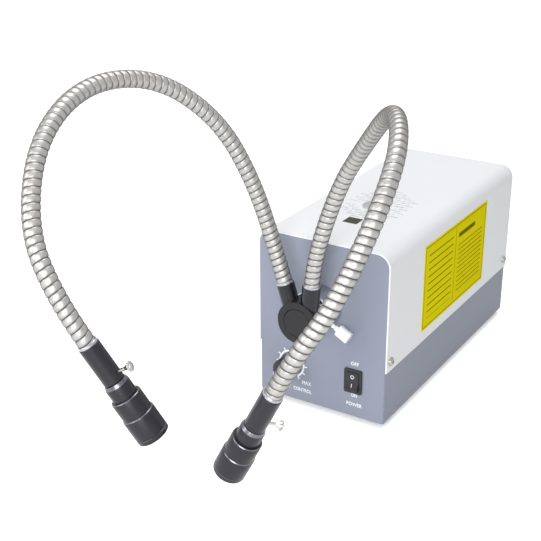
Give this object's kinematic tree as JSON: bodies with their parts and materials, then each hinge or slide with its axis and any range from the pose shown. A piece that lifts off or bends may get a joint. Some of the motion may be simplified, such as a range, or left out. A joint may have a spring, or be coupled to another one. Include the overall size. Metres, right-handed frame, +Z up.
{
  "type": "fiber optic illuminator",
  "caption": "Bench fiber optic illuminator: box light source with dimmer and rocker switch, and twin metal gooseneck light guides with focusing heads.",
  "frame": {"origin": "middle of the case's footprint, on the surface that its rubber feet stand on", "axes": "+Z up; the front panel with the socket, knob and switch faces -Y; +X is to the right of someone who looks at the front panel"},
  "size_m": [0.2258, 0.5206, 0.3055],
  "materials": {
    "tray_paint": "satin blue gray enamel",
    "cover_paint": "smooth white enamel",
    "bright_steel": "bright",
    "nickel": "nickel plate",
    "galvanised": "zinc plated",
    "black_anodised": "black anodised, satin",
    "black_gloss": "glossy",
    "black_plastic": "moulded, satin",
    "gray_plastic": "moulded",
    "rubber_black": "matt",
    "yellow_sticker": "printed film",
    "dark_sticker": "printed film",
    "reflector_mirror": "polished",
    "clear_glass": "clear",
    "ceramic_white": "unglazed",
    "core_iron": "lacquered laminations",
    "winding_tape": "polyester tape",
    "board_green": "solder mask",
    "bare_aluminium": "extruded",
    "brass_bare": "turned"
  },
  "bodies": {
    "case": {"chassis_tray": "tray_paint", "rear_panel": "tray_paint", "top_cover": "cover_paint", "cover_screws": "nickel", "rubber_feet": "rubber_black", "foot_screws": "galvanised", "vent_cap": "gray_plastic", "side_label": "yellow_sticker", "top_label": "dark_sticker", "socket_collar": "bright_steel", "socket_nut": "galvanised", "potentiometer": "galvanised", "pot_nut": "galvanised", "switch_housing": "black_plastic", "lamp_bracket": "galvanised", "heat_filter": "clear_glass", "lamp_reflector": "reflector_mirror", "lamp_capsule": "clear_glass", "lamp_socket": "ceramic_white", "transformer_core": "core_iron", "transformer_winding": "winding_tape", "control_board": "board_green", "board_standoffs": "brass_bare", "heat_sink": "bare_aluminium", "fan_frame": "black_plastic", "fan_guard": "nickel", "fan_screws": "nickel", "inlet_housing": "black_plastic", "inlet_pins": "brass_bare"},
    "rocker": {"switch_rocker": "black_plastic"},
    "dimmer": {"dimmer_knob": "black_plastic", "pot_shaft": "bright_steel"},
    "socket_screw": {"socket_thumbscrew": "nickel"},
    "guide": {"guide_plug": "bright_steel"},
    "junction": {"junction_housing": "black_gloss", "junction_cap": "black_gloss", "left_base_ferrule": "black_anodised", "right_base_ferrule": "black_anodised", "left_neck_1": "bright_steel", "right_neck_1": "bright_steel"},
    "left_arm_rise": {"left_neck_2": "bright_steel"},
    "left_arm_fall": {"left_neck_3": "bright_steel"},
    "left_arm_end": {"left_neck_4": "bright_steel", "left_tip_ferrule": "black_anodised"},
    "left_clamp": {"left_lens_thumbscrew": "nickel"},
    "left_head": {"left_focus_tube": "black_anodised", "left_lens_barrel": "black_anodised", "left_lens_hood": "black_anodised", "left_lens": "clear_glass"},
    "right_arm_rise": {"right_neck_2": "bright_steel"},
    "right_arm_fall": {"right_neck_3": "bright_steel"},
    "right_arm_end": {"right_neck_4": "bright_steel", "right_tip_ferrule": "black_anodised"},
    "right_clamp": {"right_lens_thumbscrew": "nickel"},
    "right_head": {"right_focus_tube": "black_anodised", "right_lens_barrel": "black_anodised", "right_lens_hood": "black_anodised", "right_lens": "clear_glass"},
    "fan": {"fan_rotor": "black_plastic"},
    "fuse": {"fuse_drawer": "black_plastic"}
  },
  "joints": [
    {"name": "power_rocker", "type": "hinge", "parent": "case", "child": "rocker", "pos_m": [0.0308, -0.131, 0.0378], "axis": [1, 0, 0], "range_deg": [0, 20]},
    {"name": "dimmer_turn", "type": "hinge", "parent": "case", "child": "dimmer", "pos_m": [-0.028, -0.131, 0.0375], "axis": [0, 1, 0], "range_deg": [0, 300]},
    {"name": "socket_screw_turn", "type": "hinge", "parent": "case", "child": "socket_screw", "pos_m": [0, -0.143, 0.0985], "axis": [0.8829, 0, -0.4695], "range_deg": [-360, 0]},
    {"name": "guide_pull", "type": "slide", "parent": "case", "child": "guide", "axis": [0, -1, 0], "range_m": [0, 0.03]},
    {"name": "guide_turn", "type": "hinge", "parent": "guide", "child": "junction", "pos_m": [0, -0.155, 0.0985], "axis": [0, 1, 0], "range_deg": [-30, 30]},
    {"name": "left_neck_lean", "type": "hinge", "parent": "junction", "child": "left_arm_rise", "pos_m": [-0.0305, -0.16775, 0.18105], "axis": [0.9738, -0.0387, 0.2239], "range_deg": [-15, 5]},
    {"name": "left_neck_bend", "type": "hinge", "parent": "left_arm_rise", "child": "left_arm_fall", "pos_m": [-0.08875, -0.2575, 0.2985], "axis": [0.9597, -0.2795, 0.03], "range_deg": [-22, 2]},
    {"name": "left_neck_aim", "type": "hinge", "parent": "left_arm_fall", "child": "left_arm_end", "pos_m": [-0.06245, -0.37685, 0.2082], "axis": [0.0877, 0.9881, -0.1267], "range_deg": [0, 25]},
    {"name": "left_focus", "type": "slide", "parent": "left_arm_end", "child": "left_head", "axis": [0.4347, 0.256, -0.8634], "range_m": [0, 0.012]},
    {"name": "left_clamp_turn", "type": "hinge", "parent": "left_arm_end", "child": "left_clamp", "pos_m": [-0.02315, -0.36583, 0.13775], "axis": [0.8371, 0.2387, 0.4922], "range_deg": [-360, 0]},
    {"name": "right_neck_lean", "type": "hinge", "parent": "junction", "child": "right_arm_rise", "pos_m": [0.0189, -0.16025, 0.1827], "axis": [0.9617, -0.0265, -0.2727], "range_deg": [-15, 5]},
    {"name": "right_neck_bend", "type": "hinge", "parent": "right_arm_rise", "child": "right_arm_fall", "pos_m": [0.102, -0.21925, 0.286], "axis": [0.8652, 0.4861, 0.1229], "range_deg": [-22, 2]},
    {"name": "right_neck_aim", "type": "hinge", "parent": "right_arm_fall", "child": "right_arm_end", "pos_m": [0.09665, -0.3148, 0.1763], "axis": [-0.1929, 0.9236, -0.3313], "range_deg": [-25, 0]},
    {"name": "right_focus", "type": "slide", "parent": "right_arm_end", "child": "right_head", "axis": [-0.4551, 0, -0.8904], "range_m": [0, 0.012]},
    {"name": "right_clamp_turn", "type": "hinge", "parent": "right_arm_end", "child": "right_clamp", "pos_m": [0.06055, -0.3221, 0.10778], "axis": [0.6829, 0.6418, -0.349], "range_deg": [-360, 0]},
    {"name": "fan_spin", "type": "hinge", "parent": "case", "child": "fan", "pos_m": [0, 0.118, 0.0985], "axis": [0, 1, 0], "continuous": true},
    {"name": "fuse_drawer_pull", "type": "slide", "parent": "case", "child": "fuse", "axis": [0, 1, 0], "range_m": [0, 0.014]}
  ]
}
